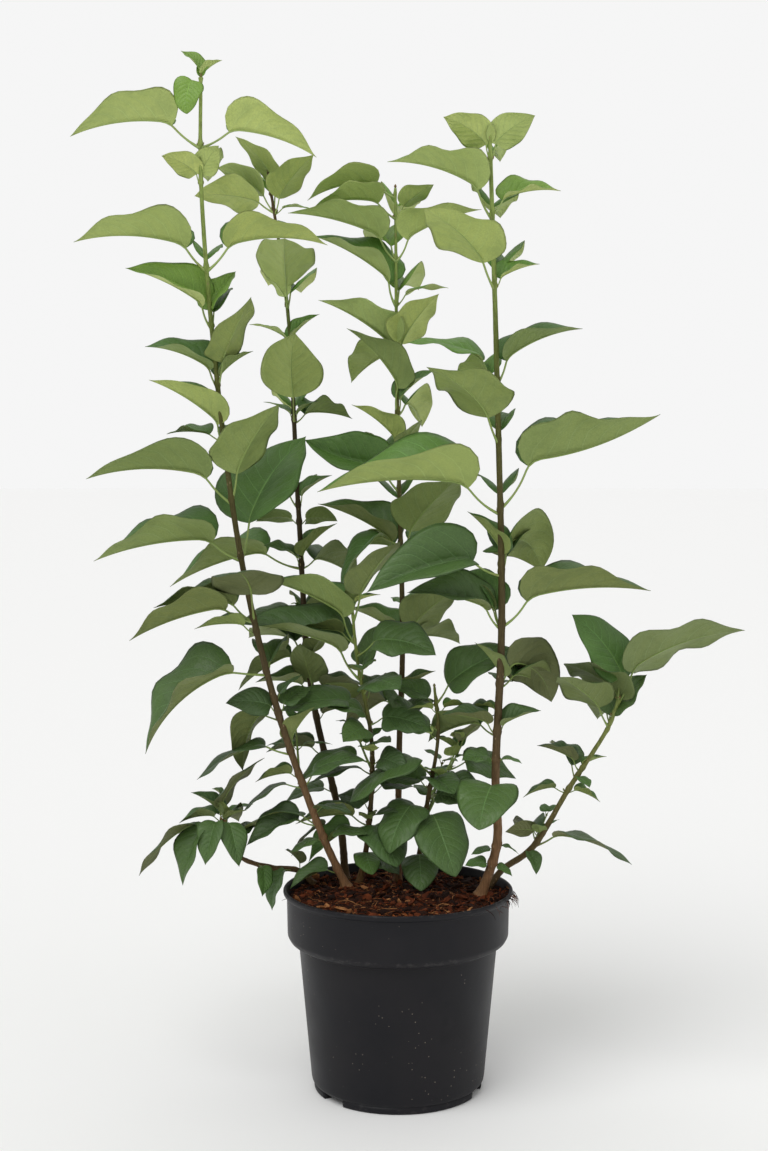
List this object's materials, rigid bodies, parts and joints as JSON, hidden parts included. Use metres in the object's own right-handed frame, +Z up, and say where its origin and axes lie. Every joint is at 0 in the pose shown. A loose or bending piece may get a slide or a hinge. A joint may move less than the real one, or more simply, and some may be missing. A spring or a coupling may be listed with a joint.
{
  "type": "potted lilac bush",
  "caption": "Young lilac bush with upright leafy canes and low side shoots in a round black nursery pot, standing free on the pot's flat foot.",
  "frame": {"origin": "middle of the pot's flat underside, on the ground", "axes": "+Z up along the pot's axis; -Y the front, from which the tallest cane stands on the left; +X to the right seen from the front"},
  "size_m": [0.6261, 0.4168, 0.9634],
  "materials": {
    "pot_plastic": "matte black moulded polypropylene with a faint sheen and light scuffs",
    "soil": "damp reddish-brown coir and bark fibre",
    "bark": "thin ridged grey-brown to olive bark with small pale pores",
    "green_bark": "smooth young olive-green bark",
    "leaves": "smooth, slightly glossy heart-shaped green leaves, paler and duller underneath"
  },
  "bodies": {
    "root": {"pot": "pot_plastic", "soil": "soil", "left_cane": "bark", "back_left_cane": "bark", "centre_cane": "bark", "right_cane": "bark", "front_shoot": "green_bark", "middle_shoot": "green_bark", "right_side_shoot": "green_bark", "left_side_shoot": "green_bark", "left_crown_top": "leaves", "left_crown_upper": "leaves", "left_crown_high_middle": "leaves", "left_crown_middle": "leaves", "left_crown_low_middle": "leaves", "left_crown_lower": "leaves", "left_crown_low": "leaves", "left_crown_foot": "leaves", "back_left_crown_top": "leaves", "back_left_crown_upper": "leaves", "back_left_crown_middle": "leaves", "back_left_crown_lower": "leaves", "back_left_crown_foot": "leaves", "centre_crown_top": "leaves", "centre_crown_upper": "leaves", "centre_crown_middle": "leaves", "centre_crown_lower": "leaves", "centre_crown_foot": "leaves", "right_crown_top": "leaves", "right_crown_shoulder": "leaves", "right_crown_upper": "leaves", "right_crown_middle": "leaves", "right_crown_low_middle": "leaves", "right_crown_lower": "leaves", "right_crown_foot": "leaves", "front_shoot_top": "leaves", "front_shoot_middle": "leaves", "front_shoot_low": "leaves", "front_shoot_foot": "leaves", "middle_shoot_top": "leaves", "middle_shoot_foot": "leaves", "right_side_shoot_top": "leaves", "right_side_shoot_middle": "leaves", "right_side_shoot_foot": "leaves", "left_side_shoot_top": "leaves", "left_side_shoot_foot": "leaves"}
  },
  "joints": []
}
